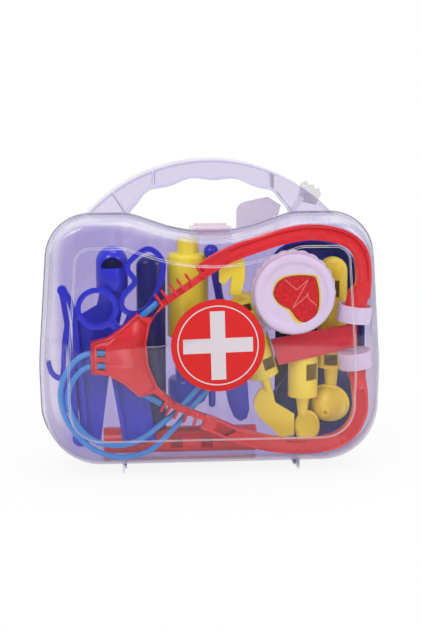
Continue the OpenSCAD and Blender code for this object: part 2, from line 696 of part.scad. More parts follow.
// Long flat tools behind the scissors
otoscope_y = scissor_back_y + clear_rest;
otoscope_r = 12;
otoscope_x = -74.2;
otoscope_low = 141.5;
otoscope_dome = 161.5;
otoscope_bore = otoscope_r - tool_wall;
eye_low = 158.2;
eye_half = 8.4;
module otoscope() color([0.13, 0.15, 0.72]) {
    axis = otoscope_y + otoscope_r;
    translate([otoscope_x, axis, 0]) difference() {
        union() {
            translate([0, 0, otoscope_low]) cylinder(r = otoscope_r, h = otoscope_dome - otoscope_low);
            translate([0, 0, otoscope_dome]) sphere(r = otoscope_r);
        }
        translate([0, 0, otoscope_low + tool_wall])
            cylinder(r = otoscope_bore, h = otoscope_dome - otoscope_low - tool_wall);
        translate([0, 0, otoscope_dome]) sphere(r = otoscope_bore);
        intersection() {
            translate([0, -4, eye_low]) rotate([90, 0, 0]) cylinder(r = eye_half, h = otoscope_r);
            translate([-otoscope_r, -2 * otoscope_r, eye_low])
                cube([2 * otoscope_r, 2 * otoscope_r, otoscope_r]);
        }
    }
    plate(axis - 2, axis + 2) polygon([[-83, otoscope_low + 1], [-65.4, otoscope_low + 1], [-66.5, 127],
        [-70, 110], [-77, 80], [-84.5, 23], [-99.5, 23], [-101, 46], [-104, 58], [-104.5, 111], [-98, 122],
        [-86, 129]]);
}

tweezer_front = otoscope_y + otoscope_r - 2 - clear_rest - 5;
module tweezers() color([0.14, 0.15, 0.66]) plate(tweezer_front, tweezer_front + 5) {
    polygon(strip(open_curve([[-112.4, 142], [-110.2, 128], [-108.2, 112], [-105.4, 80], [-103.5, 45],
        [-101.5, 27]], 3), 2, -2));
    polygon(strip(open_curve([[-111, 142], [-106.2, 133], [-103.2, 122], [-101.4, 100], [-99, 74],
        [-97.2, 45], [-98.4, 27]], 3), 2.2, -2.2));
    translate([-111.8, 141.5]) circle(r = 3.5);
    translate([-99.8, 26.5]) circle(r = 6.4);
}
hook_y = tweezer_front + 5 + clear_rest;
module hook_probe() color([0.14, 0.15, 0.66]) plate(hook_y, hook_y + 4.5) {
    polygon(strip(open_curve([[-109, 113], [-111, 100], [-112, 84], [-113, 74]], 4), 1.8, -1.8));
    polygon(strip(open_curve([[-123.5, 86], [-121, 77], [-115, 72.5], [-107, 74]], 4), 1.8, -1.8));
    polygon(strip([[-109, 76], [-110, 46]], 3.4, -3.4));
}

probe_y = syringe_y - 7.2;
module ball_probe() color([0.13, 0.15, 0.72]) {
    top = [0.5, syringe_y - 11.3, 168.4];
    knee = [16.5, probe_y, 82];
    translate(top) sphere(r = 5.7);
    bar(top, knee, 3.15);
    plate(probe_y - 3, probe_y + 3)
        polygon([[12.8, 90], [9.6, 72], [14.6, 48], [18.5, 38.5], [23.5, 34.8], [28.5, 37.5], [30.4, 44],
            [28.6, 70], [20.4, 90]]);
}
module thermometer() color([0.13, 0.15, 0.72]) {
    at = [1.9, syringe_y - 4.35];
    translate([at[0], at[1], 48]) sphere(r = 2.75);
    translate([at[0], at[1], 48]) cylinder(r = 2.75, h = 78);
}

head_y = frame_back + 21.5;
head_z = 11.5 + head_d / 2;
head_x = head_l / 2 - 82.5;
grip_x = -45;              // axis of the hammer handle
peg_d = grip_d - 4;        // peg of the handle in the head
module hammer_head() color([0.85, 0.13, 0.20]) {
    difference() {
        translate([head_x - head_l / 2, head_y, head_z]) rotate([0, 90, 0]) cylinder(d = head_d, h = head_l);
        translate([head_x - head_l / 2 - 1, head_y, head_z]) rotate([0, 90, 0])
            cylinder(d = head_d - 2 * tool_wall, h = 14);
        for (x = [-31, -7.5]) translate([x, head_y - head_d, head_z - 5]) cube([9, head_d, 9]);
        translate([grip_x, head_y, head_z]) cylinder(d = peg_d, h = head_d);
    }
}
module hammer_handle() color([0.08, 0.08, 0.45]) {
    translate([grip_x, head_y, head_z]) cylinder(d = peg_d - 2 * run_gap, h = head_d / 2 + 1);
    translate([grip_x, head_y, head_z + head_d / 2 + clear_rest]) scale([grip_w / grip_d, 1, 1]) {
        cylinder(d = grip_d, h = grip_l);
        translate([0, 0, grip_l]) sphere(d = grip_d);
    }
}

tray_back = head_y - head_d / 2 - clear_rest;
tray_t = 5;
tray_floor = 2.2;
tray_rim = 3.4;
module mirror_tray() color([0.20, 0.25, 0.75]) {
    outline = [[-80, 100], [-67, 20.5], [-42.5, 25], [-53, 100]];
    plate(tray_back - tray_floor, tray_back) polygon(outline);
    plate(tray_back - tray_t, tray_back) difference() {
        polygon(outline);
        polygon(shrink(outline, tray_rim));
    }
}

dish_loop = [[47, 158], [60, 171], [88, 174], [109, 163], [118.6, 137], [121.4, 95], [119.6, 55],
    [110, 29], [88, 18], [60, 20], [46, 34], [48, 50], [61, 69], [66, 95], [61, 120], [47, 141]];
dish_outline = backwards(closed_curve(dish_loop, 3));
function dish_ring(y, d) = [for (p = shrink(dish_outline, d)) [p[0], y, p[1]]];
module kidney_dish() color([0.10, 0.10, 0.50]) {
    base = rear_in - clear_rest;
    rim = base - dish_h;
    skin([dish_ring(base - dish_wall, 8), dish_ring(base - 3 - dish_wall / 2, 5 + dish_wall),
        dish_ring(rim + 0.2, 1.2), dish_ring(rim, -0.8), dish_ring(rim + 1.2, -0.8),
        dish_ring(rim + 1.6, 0), dish_ring(base - 3, 5), dish_ring(base, 8)]);
}

// A hollow sleeve with a domed top, windows, a flange and a neck, its axis along Z from 0 up
sleeve_floor = 2;
module sleeve(h, windows) {
    difference() {
        union() {
            cylinder(r = sleeve_r, h = h - sleeve_r);
            translate([0, 0, h - sleeve_r]) sphere(r = sleeve_r);
        }
        translate([0, 0, sleeve_floor]) cylinder(r = sleeve_r - tool_wall, h = h - sleeve_r - sleeve_floor);
        translate([0, 0, h - sleeve_r]) sphere(r = sleeve_r - tool_wall);
        for (w = windows) translate([w[0] - w[2] / 2, -sleeve_r - 1, w[1]]) cube([w[2], sleeve_r, w[3]]);
    }
}
module neck(top, low, r_top, r_low) {
    translate([0, 0, low]) cylinder(r1 = r_low, r2 = r_top, h = top - low);
}

spatula_y = sleeve_y - 2.5;
module spatula_tool() color([0.93, 0.79, 0.22]) {
    translate([41.3, spatula_y, 72]) rotate([0, -15.5, 0]) {
        sleeve(68, [[5.5, 6, 8.5, 9], [0, 54, 8, 6]]);
        neck(0.5, -13, 4.2, 3);
    }
    plate(spatula_y - 1.6, spatula_y + 1.6) polygon([[38.5, 62], [48, 60], [50, 50.5], [65, 41],
        [65, 24], [54, 23.2], [37.5, 39.5], [33.6, 47], [34, 54]]);
}
module spoon_tool() color([0.93, 0.79, 0.22]) {
    translate([71.8, sleeve_y, 55]) {
        sleeve(52, [[5.4, 14, 9, 13]]);
        neck(0.5, -16, 5.6, 3.4);
    }
    difference() {
        translate([75.6, sleeve_y, 30]) scale([1, 0.4, 1.3]) sphere(r = 10);
        translate([75.6, sleeve_y - 3.2, 31]) scale([1, 0.4, 1.3]) sphere(r = 8.2);
    }
}
ball_r = 14.6;
bulb_turn = [105, 0, -18];   // turns Z to the way the cone on the ball points
ball_tool_y = cup_y + cup_r + clear_rest + sleeve_r;
module ball_tool() color([0.93, 0.79, 0.22]) {
    translate([95.3, ball_tool_y, 76]) {
        sleeve(86, [[-2, 2, 10, 9], [0, 56, 7, 13]]);
        neck(0.5, -16, 6, 4.6);
        translate([0, 0, -0.6]) cylinder(r = sleeve_r - 0.6, h = 3);
    }
    translate([93.8, ball_tool_y, 46]) difference() {
        union() {
            sphere(r = ball_r);
            rotate(bulb_turn) {
                translate([0, 0, -0.8]) cylinder(r = ball_r + 2, h = 1.6);
                cylinder(r1 = 9.5, r2 = 3.4, h = ball_r + 1.8);
            }
        }
        rotate(bulb_turn) translate([0, 0, ball_r - 5]) cylinder(r = 1.4, h = 8);
    }
}
clip_y = frame_back + clear_rest;
module yellow_clip() color([0.90, 0.72, 0.15]) plate(clip_y, clip_y + 3.5)
    polygon([[5, 163], [14, 170], [21, 168.5], [24.4, 163], [24.2, 150], [21.5, 138], [13, 138], [13.8, 145],
        [14.4, 152.5], [9, 146], [5, 148]]);
module arm_strap() color([0.86, 0.22, 0.28]) plate(strap_y, strap_y + strap_thick)
    polygon([[44.7, 102.6], [51.2, 82.4], [111.2, 95.5], [110.9, 114.3]]);

rear_shell();
front_shell();
hinge_pin_left();
hinge_pin_right();
latch();
latch_pin();
rear_tab();
edge_tab();
sticker_disc();
sticker_emblem();
steth_frame();
stub_tube_upper();
stub_tube_lower();
ear_cup_upper();
ear_cup_lower();
tube_outer();
tube_inner();
chest_bell();
chest_ring();
heart_label();
tube_connector();
syringe_barrel();
syringe_plunger();
scissor_front();
scissor_back();
scissor_rivet();
tweezers();
otoscope();
hook_probe();
thermometer();
ball_probe();
hammer_handle();
hammer_head();
mirror_tray();
kidney_dish();
spatula_tool();
spoon_tool();
ball_tool();
yellow_clip();
arm_strap();
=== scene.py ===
"""Studio scene of a clear toy doctor case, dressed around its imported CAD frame."""

import logging
import math
from dataclasses import dataclass, field
from enum import Enum
from typing import ClassVar, Iterable, Sequence

import bmesh
import bpy
from mathutils import Matrix, Vector


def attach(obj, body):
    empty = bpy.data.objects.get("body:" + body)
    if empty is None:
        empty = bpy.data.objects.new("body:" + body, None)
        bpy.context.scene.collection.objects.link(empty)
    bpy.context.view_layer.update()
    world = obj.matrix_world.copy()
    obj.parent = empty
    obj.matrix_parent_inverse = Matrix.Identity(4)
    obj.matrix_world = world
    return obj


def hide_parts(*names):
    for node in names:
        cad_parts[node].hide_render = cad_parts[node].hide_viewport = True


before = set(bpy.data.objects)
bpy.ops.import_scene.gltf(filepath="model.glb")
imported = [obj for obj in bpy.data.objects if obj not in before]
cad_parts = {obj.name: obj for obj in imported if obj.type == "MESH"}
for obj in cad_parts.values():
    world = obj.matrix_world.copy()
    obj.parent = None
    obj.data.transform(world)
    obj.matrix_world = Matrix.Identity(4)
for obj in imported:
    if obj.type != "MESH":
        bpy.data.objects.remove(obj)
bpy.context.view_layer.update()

MM = 0.001
WELD = 1e-6
FLAT_ANGLE = math.radians(0.8)
VOLUME_SLACK = 0.01
PLASTIC_IOR = 1.49
LOG = logging.getLogger("doctor_case")
Colour = tuple[float, float, float]
Point = tuple[float, float, float]
Pair = tuple[float, float]


def srgb(red: int, green: int, blue: int) -> Colour:
    """A colour as a screen shows it, turned into scene-linear values.

    Args:
        red: Red from 0 to 255.
        green: Green from 0 to 255.
        blue: Blue from 0 to 255.

    Returns:
        The three linear values.
    """
    def linear(value: float) -> float:
        """One channel."""
        return value / 12.92 if value <= 0.04045 else ((value + 0.055) / 1.055) ** 2.4

    return linear(red / 255), linear(green / 255), linear(blue / 255)


# Shaders


class Signal:
    """A shader socket that takes part in Python arithmetic."""

    def __init__(self, tree: "ShaderTree", socket: bpy.types.NodeSocket) -> None:
        """Keep the tree and the socket."""
        self.tree = tree
        self.socket = socket

    def __add__(self, other: "Signal | float") -> "Signal":
        """Sum."""
        return self.tree.math("ADD", self, other)

    __radd__ = __add__

    def __sub__(self, other: "Signal | float") -> "Signal":
        """Difference."""
        return self.tree.math("SUBTRACT", self, other)

    def __rsub__(self, other: "Signal | float") -> "Signal":
        """Difference from a number."""
        return self.tree.math("SUBTRACT", other, self)

    def __mul__(self, other: "Signal | float") -> "Signal":
        """Product."""
        return self.tree.math("MULTIPLY", self, other)

    __rmul__ = __mul__

    def __pow__(self, other: "Signal | float") -> "Signal":
        """Power."""
        return self.tree.math("POWER", self, other)

    def step(self, low: float, high: float) -> "Signal":
        """0 below low, 1 above high, smooth in between."""
        made = self.tree.node(
            "ShaderNodeMapRange",
            {"interpolation_type": "SMOOTHSTEP"},
            {"Value": self, "From Min": low, "From Max": high},
        )
        return self.tree.out(made)


class NodeMaker:
    """Anything that adds nodes to a tree."""

    tree: bpy.types.NodeTree

    def node(
        self, kind: str, settings: dict | None = None, sockets: dict | None = None
    ) -> bpy.types.Node:
        """Add one node.

        Args:
            kind: The node's type.
            settings: Its settings, set before its sockets.
            sockets: Values or links by socket name or index.

        Returns:
            The node.
        """
        made = self.tree.nodes.new(kind)
        for key, value in (settings or {}).items():
            setattr(made, key, value)
        for key, value in (sockets or {}).items():
            socket = made.inputs[key]
            if isinstance(value, Signal):
                self.tree.links.new(value.socket, socket)
            elif isinstance(value, bpy.types.NodeSocket):
                self.tree.links.new(value, socket)
            elif isinstance(value, tuple) and len(value) == 3 and socket.type == "RGBA":
                socket.default_value = (*value, 1.0)
            else:
                socket.default_value = value
        return made


class ShaderTree(NodeMaker):
    """The node tree of one material or world."""

    def __init__(self, tree: bpy.types.NodeTree) -> None:
        """Empty a tree so that it can be filled anew."""
        self.tree = tree
        tree.nodes.clear()

    def out(self, node: bpy.types.Node, key: str | int = 0) -> Signal:
        """One output of a node as a signal."""
        return Signal(self, node.outputs[key])

    def math(self, operation: str, first: "Signal | float", second: "Signal | float") -> Signal:
        """One Math node as a signal."""
        made = self.node("ShaderNodeMath", {"operation": operation}, {0: first, 1: second})
        return self.out(made)

    def mix(self, factor: Signal, first: "Colour | Signal", second: "Colour | Signal") -> Signal:
        """A blend of two colours."""
        made = self.node("ShaderNodeMix", {"data_type": "RGBA"}, {0: factor, 6: first, 7: second})
        return self.out(made, 2)

    def noise(self, scale: float, detail: float = 2.0, stretch: Point = (1, 1, 1)) -> Signal:
        """Noise over the piece's own coordinates, from 0 to 1.

        Args:
            scale: Waves to the metre.
            detail: Octaves.
            stretch: Scale along each axis.

        Returns:
            The noise.
        """
        place = self.node("ShaderNodeTexCoord").outputs["Object"]
        spread = self.node("ShaderNodeMapping", None, {"Vector": place, "Scale": stretch})
        return self.out(
            self.node(
                "ShaderNodeTexNoise",
                None,
                {"Vector": spread.outputs[0], "Scale": scale, "Detail": detail},
            )
        )

    def bump(self, height: Signal, strength: float, distance: float) -> bpy.types.NodeSocket:
        """A bumped normal."""
        made = self.node(
            "ShaderNodeBump", None, {"Height": height, "Strength": strength, "Distance": distance}
        )
        return made.outputs[0]


class Finish:
    """A surface finish that builds its material once."""

    name: str
    slot: str

    def fill(self, tree: ShaderTree) -> bpy.types.NodeSocket:
        """Build the finish's nodes.

        Args:
            tree: The material's tree.

        Returns:
            The shader's output.
        """
        raise NotImplementedError

    def material(self) -> bpy.types.Material:
        """The finish's material, made at its first use."""
        found = bpy.data.materials.get(self.name)
        if found:
            return found
        made = bpy.data.materials.new(self.name)
        made.use_nodes = True
        tree = ShaderTree(made.node_tree)
        shader = self.fill(tree)
        tree.node("ShaderNodeOutputMaterial", None, {"Surface": shader})
        return made


@dataclass(frozen=True)
class Moulded(Finish):
    """Opaque moulded plastic with faint flow marks and a fine skin."""

    name: str
    slot: str
    colour: Colour
    shade: Colour
    roughness: float = 0.32
    coat: float = 0.25
    marks: float = 0.5
    skin: float = 0.05
    specular: float = 0.45
    flow_waves: ClassVar[float] = 38
    grain_waves: ClassVar[float] = 900
    relief: ClassVar[float] = 0.0006

    def fill(self, tree: ShaderTree) -> bpy.types.NodeSocket:
        """Flow marks tint the colour, and a fine grain roughens the gloss.

        Args:
            tree: The material's tree.

        Returns:
            The shader's output.
        """
        flow = tree.noise(self.flow_waves, 3, (1, 1, 0.45))
        speck = tree.noise(self.grain_waves, 2)
        colour = tree.mix(flow.step(0.35, 0.75) * self.marks, self.colour, self.shade)
        rough = self.roughness + 0.10 * (flow - 0.5) + 0.06 * (speck - 0.5)
        made = tree.node(
            "ShaderNodeBsdfPrincipled",
            None,
            {
                "Base Color": colour,
                "Roughness": rough,
                "Coat Weight": self.coat,
                "Coat Roughness": 0.12,
                "Specular IOR Level": self.specular,
                "IOR": PLASTIC_IOR,
                "Normal": tree.bump(speck + 2.5 * flow, self.skin, self.relief),
            },
        )
        return made.outputs[0]


class Zone(Enum):
    """Where a clear moulding takes its second tint: under a level line, where it is painted shade,
    or round a middle whose deeper tint is painted shade.
    """

    NOWHERE = "nowhere"
    LOWER = "lower"
    BORDER = "border"


@dataclass(frozen=True)
class Clear(Finish):
    """Clear moulded plastic: tinted, glossy, and milky then grey where it is seen edge on; that
    grey is painted dark refraction.

    The plain middle, whose deeper first tint on the rear is painted shade of the inside of the
    case, is given by its half width, its height over the ground and its half height. Its top is
    lower by the dip halfway along.
    """

    name: str
    slot: str
    tint: Colour
    veil: Colour
    haze: float = 0.01
    rim: float = 0.45
    gloss: float = 0.03
    roughness: float = 0.05
    # Grey at the very edge: painted dark refraction of the surroundings.
    edge: Colour = srgb(120, 120, 138)
    second: Colour = (1.0, 1.0, 1.0)
    zone: Zone = Zone.NOWHERE
    painted_shade_top: ClassVar[float] = 0.110
    painted_shade_blur: ClassVar[float] = 0.0008
    middle: ClassVar[Point] = (0.115, 0.092, 0.096)
    dip: ClassVar[float] = 0.013
    streak_waves: ClassVar[float] = 120
    streak_share: ClassVar[float] = 0.16

    def zone_mask(self, tree: ShaderTree) -> Signal:
        """Where the second tint is: under a level line, as painted shade, or round the middle,
        whose deeper tint is painted shade, and in streaks.

        Args:
            tree: The material's tree.

        Returns:
            Its share, from 0 to 1.
        """
        place = tree.node("ShaderNodeTexCoord").outputs["Object"]
        parts = tree.node("ShaderNodeSeparateXYZ", None, {0: place})
        height = tree.out(parts, 2)
        if self.zone is Zone.LOWER:
            # Darker second tint under the level line: painted shade on the lower half of the front.
            return 1 - height.step(self.painted_shade_top - self.painted_shade_blur, self.painted_shade_top + self.painted_shade_blur)
        # The middle keeps the deeper first tint: painted shade of the inside of the case.
        half, level, rise = self.middle
        across = tree.math("ABSOLUTE", tree.out(parts, 0), 0.0) * (1 / half)
        sag = (1 - across).step(0.2, 0.75) * self.dip
        up = tree.math("ABSOLUTE", height + sag - level, 0.0) * (1 / rise)
        border = (across ** 8 + up ** 8).step(0.6, 1.5)
        streaks = tree.noise(self.streak_waves, 2, (1, 1, 0.04)).step(0.42, 0.66)
        return border + (1 - border) * streaks * self.streak_share

    def through(self, tree: ShaderTree) -> bpy.types.NodeSocket:
        """What shows through the plastic, with its second tint where it has one."""
        first = tree.node("ShaderNodeBsdfTransparent", None, {"Color": self.tint})
        if self.zone is Zone.NOWHERE:
            return first.outputs[0]
        other = tree.node("ShaderNodeBsdfTransparent", None, {"Color": self.second})
        both = tree.node(
            "ShaderNodeMixShader",
            None,
            {0: self.zone_mask(tree), 1: first.outputs[0], 2: other.outputs[0]},
        )
        return both.outputs[0]

    def fill(self, tree: ShaderTree) -> bpy.types.NodeSocket:
        """What shows through, then the milky share, then the reflection.

        Args:
            tree: The material's tree.

        Returns:
            The shader's output.
        """
        facing = tree.out(tree.node("ShaderNodeLayerWeight", None, {"Blend": 0.5}), "Facing")
        speck = tree.noise(26, 2)
        milk = tree.node(
            "ShaderNodeBsdfPrincipled",
            None,
            {
                # The grey edge colour at grazing angles is painted dark refraction.
                "Base Color": tree.mix(facing.step(0.82, 0.99) * 0.8, self.veil, self.edge),
                "Roughness": 0.35,
                "IOR": PLASTIC_IOR,
            },
        )
        mirror = tree.node(
            "ShaderNodeBsdfPrincipled",
            None,
            {"Base Color": (0.97, 0.97, 1.0), "Metallic": 1.0, "Roughness": self.roughness},
        )
        share = self.haze * (0.6 + 0.8 * speck) + self.rim * facing ** 2.4
        body = tree.node(
            "ShaderNodeMixShader", None, {0: share, 1: self.through(tree), 2: milk.outputs[0]}
        )
        shine = self.gloss + (1 - self.gloss) * 0.75 * facing ** 5
        made = tree.node(
            "ShaderNodeMixShader", None, {0: shine, 1: body.outputs[0], 2: mirror.outputs[0]}
        )
        return made.outputs[0]


@dataclass(frozen=True)
class Glitter(Finish):
    """Printed foil with a fine grid of lighter and darker squares."""

    name: str
    slot: str
    colour: Colour
    shade: Colour
    pitch: float = 1.1
    turn: float = 35
    roughness: float = 0.34

    def fill(self, tree: ShaderTree) -> bpy.types.NodeSocket:
        """A grid of small squares, each with its own shade.

        Args:
            tree: The material's tree.

        Returns:
            The shader's output.
        """
        place = tree.node("ShaderNodeTexCoord").outputs["Object"]
        turned = tree.node(
            "ShaderNodeMapping",
            None,
            {
                "Vector": place,
                "Rotation": (0.0, math.radians(self.turn), 0.0),
                "Scale": (1.0, 0.0, 1.0),
            },
        )
        cells = tree.node(
            "ShaderNodeTexVoronoi",
            {"feature": "F1", "distance": "CHEBYCHEV"},
            {"Vector": turned.outputs[0], "Scale": 1 / (self.pitch * MM), "Randomness": 0.25},
        )
        split = tree.node("ShaderNodeSeparateColor", None, {0: cells.outputs["Color"]})
        shade = tree.out(split)
        made = tree.node(
            "ShaderNodeBsdfPrincipled",
            None,
            {
                "Base Color": tree.mix(shade, self.colour, self.shade),
                "Roughness": self.roughness + 0.1 * shade,
                "Specular IOR Level": 0.3,
                "Normal": tree.bump(shade, 0.1, 0.0002),
            },
        )
        return made.outputs[0]


class Palette(Enum):
    """Every finish of the case and of what is in it."""

    # The front's darker second tint under a level line is painted shade on its lower half.
    FRONT = Clear(
        "clear_front", "clear", (0.985, 0.98, 0.99), srgb(226, 226, 234), haze=0.006, rim=0.5,
        second=(0.955, 0.94, 0.955), zone=Zone.LOWER,
    )
    # The rear's deeper tint in its middle is painted shade of the inside of the case.
    REAR = Clear(
        "smoked_rear", "smoked_clear", (0.655, 0.61, 0.83), srgb(205, 198, 228), haze=0.03,
        rim=0.45, edge=srgb(104, 104, 122), second=(0.87, 0.845, 0.94), zone=Zone.BORDER,
    )
    LATCH = Clear(
        "latch_plastic", "latch_clear", (0.93, 0.86, 0.91), srgb(226, 206, 220), haze=0.16,
        rim=0.45,
    )
    PIN = Clear(
        "pin_clear", "clear_pin", (0.9, 0.88, 0.93), srgb(225, 220, 230), haze=0.10, rim=0.30
    )
    FILM = Clear(
        "clear_film", "film", (0.90, 0.86, 0.94), srgb(192, 180, 210), haze=0.30, rim=0.25
    )
    CLIP = Clear(
        "clear_clip", "film", (0.93, 0.93, 0.93), srgb(230, 228, 230), haze=0.30, rim=0.3
    )
    # Pale lines round the window: painted highlights on the edges of its moulded step.
    STEP_HIGHLIGHT = Clear(
        "painted_step_highlight", "clear", (0.95, 0.95, 0.97), srgb(236, 234, 242), haze=0.5, rim=0.4
    )
    # Grey lines at the seam: painted shadow of the gap between the shells.
    SEAM = Clear(
        "painted_seam_shadow", "clear", (0.84, 0.84, 0.87), srgb(172, 172, 180), haze=0.34, rim=0.35
    )
    RED = Moulded("red_plastic", "red", srgb(232, 32, 42), srgb(212, 20, 34))
    STRAP = Moulded(
        "strap_plastic", "red", srgb(228, 40, 60), srgb(208, 26, 46), roughness=0.42
    )
    LABEL = Moulded(
        "sticker_ground", "sticker_red", srgb(204, 36, 34), srgb(196, 30, 30), roughness=0.5,
        coat=0.0, marks=0.3, skin=0.02, specular=0.2,
    )
    PRINT = Moulded(
        "sticker_print", "sticker_white", srgb(206, 196, 204), srgb(200, 190, 198), roughness=0.5,
        coat=0.0, marks=0.4, skin=0.02, specular=0.2,
    )
    WHITE = Moulded(
        "white_plastic", "white", srgb(228, 212, 238), srgb(214, 196, 230), roughness=0.35
    )
    BLUE = Moulded("blue_plastic", "blue", srgb(34, 40, 208), srgb(20, 22, 172))
    DISH = Moulded("dish_blue", "navy", srgb(24, 34, 168), srgb(16, 20, 140), roughness=0.28)
    NAVY = Moulded("navy_plastic", "navy", srgb(22, 20, 128), srgb(14, 10, 98))
    YELLOW = Moulded("yellow_plastic", "yellow", srgb(255, 234, 60), srgb(255, 220, 48))
    TUBE = Moulded("tube_blue", "soft_blue", srgb(54, 146, 226), srgb(42, 128, 214), roughness=0.36)
    STUB = Moulded(
        "stub_blue", "light_blue", srgb(52, 130, 205), srgb(40, 112, 190), roughness=0.34
    )
    GOLD = Moulded(
        "label_gold", "label", srgb(232, 204, 84), srgb(222, 190, 70), roughness=0.4, coat=0.1
    )
    OUTLINE = Moulded(
        "label_outline", "label", srgb(124, 36, 10), srgb(104, 28, 8), roughness=0.45, coat=0.1
    )
    HEART = Glitter("label_heart", "label", srgb(236, 22, 32), srgb(182, 12, 20))
    PULSE = Moulded(
        "label_pulse", "label", srgb(238, 150, 140), srgb(232, 136, 128), roughness=0.5, coat=0.0
    )
    TIE = Moulded(
        "tie_white", "white", srgb(235, 232, 238), srgb(222, 218, 226), roughness=0.6, coat=0.0
    )


# Meshes


def plain_mesh(made: bpy.types.Object, name: str) -> bpy.types.Object:
    """Turn an object with modifiers into a plain mesh object of the same place.

    Args:
        made: The object. It is removed.
        name: The new object's name.

    Returns:
        The plain object.
    """
    bpy.context.view_layer.update()
    graph = bpy.context.evaluated_depsgraph_get()
    mesh = bpy.data.meshes.new_from_object(made.evaluated_get(graph))
    mesh.transform(made.matrix_world)
    bpy.data.objects.remove(made)
    return linked(name, mesh)


def linked(name: str, data: bpy.types.ID) -> bpy.types.Object:
    """A new object in the scene that shows some data."""
    made = bpy.data.objects.new(name, data)
    bpy.context.scene.collection.objects.link(made)
    return made


def mesh_piece(
    name: str, points: Sequence[Point], faces: Iterable[Sequence[int]]
) -> bpy.types.Object:
    """A mesh object from points and faces, with its faces turned outwards."""
    mesh = bpy.data.meshes.new(name)
    mesh.from_pydata([tuple(p) for p in points], [], [tuple(f) for f in faces])
    work = bmesh.new()
    work.from_mesh(mesh)
    bmesh.ops.remove_doubles(work, verts=work.verts, dist=WELD)
    bmesh.ops.recalc_face_normals(work, faces=work.faces)
    work.to_mesh(mesh)
    work.free()
    return linked(name, mesh)


def inner_walls(work: bmesh.types.BMesh) -> list[bmesh.types.BMFace]:
    """Pairs of faces that lie back to back where two solids of a node touch."""
    places: dict[frozenset, list[bmesh.types.BMFace]] = {}
    for face in work.faces:
        key = frozenset(tuple(round(c / WELD) for c in spot.co) for spot in face.verts)
        places.setdefault(key, []).append(face)
    return [face for same in places.values() if len(same) == 2 for face in same]


def merged_mesh(node: str, name: str) -> bpy.types.Mesh:
    """A copy of a CAD node's mesh as one closed skin, its flat faces cut evenly.

    Args:
        node: The CAD node.
        name: The new mesh's name.

    Returns:
        The mesh.
    """
    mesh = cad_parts[node].data.copy()
    mesh.name = name
    mesh.materials.clear()
    work = bmesh.new()
    work.from_mesh(mesh)
    bmesh.ops.delete(work, geom=inner_walls(work), context="FACES_ONLY")
    bmesh.ops.remove_doubles(work, verts=work.verts, dist=WELD)
    loose = [edge for edge in work.edges if not edge.link_faces]
    bmesh.ops.delete(work, geom=loose, context="EDGES")
    volume = work.calc_volume()
    bmesh.ops.dissolve_limit(work, angle_limit=FLAT_ANGLE, verts=work.verts, edges=work.edges)
    bmesh.ops.triangulate(work, faces=work.faces, quad_method="BEAUTY", ngon_method="BEAUTY")
    open_edges = sum(not edge.is_manifold for edge in work.edges)
    ratio = work.calc_volume() / volume
    if open_edges or abs(ratio - 1) > VOLUME_SLACK:
        LOG.warning("%s: %d open edges, volume ratio %.3f", name, open_edges, ratio)
    work.to_mesh(mesh)
    work.free()
    return mesh


def shaded(made: bpy.types.Object, crease: float) -> bpy.types.Object:
    """The same object, smooth but where its faces meet at more than the crease's degrees."""
    made.data.shade_smooth()
    made.data.set_sharp_from_angle(angle=math.radians(crease))
    return made


class Miter(Enum):
    """How a rounded edge turns an outer corner."""

    SHARP = "MITER_SHARP"
    ARC = "MITER_ARC"


def softened(
    made: bpy.types.Object, name: str, bevel: float, segments: int, crease: float, miter: Miter
) -> bpy.types.Object:
    """A plain object with rounded edges and smooth faces.

    Args:
        made: The object as it comes. It is removed.
        name: The new object's name.
        bevel: Radius of its edges in millimetres, or 0 to leave them.
        segments: Steps of the rounding.
        crease: Smallest angle in degrees that counts as an edge.
        miter: The shape of outer corners.

    Returns:
        The new object.
    """
    if bevel:
        rounding = made.modifiers.new("edges", "BEVEL")
        rounding.width = bevel * MM
        rounding.segments = segments
        rounding.limit_method = "ANGLE"
        rounding.angle_limit = math.radians(crease)
        rounding.miter_outer = miter.value
    return shaded(plain_mesh(made, name), crease)


def lathe(name: str, profile: Sequence[Pair], steps: int) -> bpy.types.Object:
    """A body turned round Z.

    Args:
        name: The object's name.
        profile: Radius and height in millimetres, from the axis back to the axis.
        steps: Faces round it.

    Returns:
        The new object.
    """
    rings = [(r, z) for r, z in profile if r > 0]
    points: list[Point] = [
        (r * MM * math.cos(math.tau * k / steps), r * MM * math.sin(math.tau * k / steps), z * MM)
        for r, z in rings for k in range(steps)
    ]
    faces: list[Sequence[int]] = [
        (low + k, low + (k + 1) % steps, low + steps + (k + 1) % steps, low + steps + k)
        for low in range(0, (len(rings) - 1) * steps, steps) for k in range(steps)
    ]
    for low, height in ((0, profile[0][1]), ((len(rings) - 1) * steps, profile[-1][1])):
        points.append((0.0, 0.0, height * MM))
        faces += [(len(points) - 1, low + k, low + (k + 1) % steps) for k in range(steps)]
    return mesh_piece(name, points, faces)


def slab(name: str, outline: Sequence[Pair], back: float, front: float) -> bpy.types.Object:
    """A flat plate that stands in a vertical plane.

    Args:
        name: The object's name.
        outline: Its outline as x and z in millimetres, anticlockwise from the front.
        back: y of its back in millimetres.
        front: y of its front in millimetres.

    Returns:
        The new object.
    """
    count = len(outline)
    points = [(x * MM, y * MM, z * MM) for y in (front, back) for x, z in outline]
    sides = [(i, (i + 1) % count, count + (i + 1) % count, count + i) for i in range(count)]
    return mesh_piece(name, points, [range(count), range(2 * count - 1, count - 1, -1), *sides])


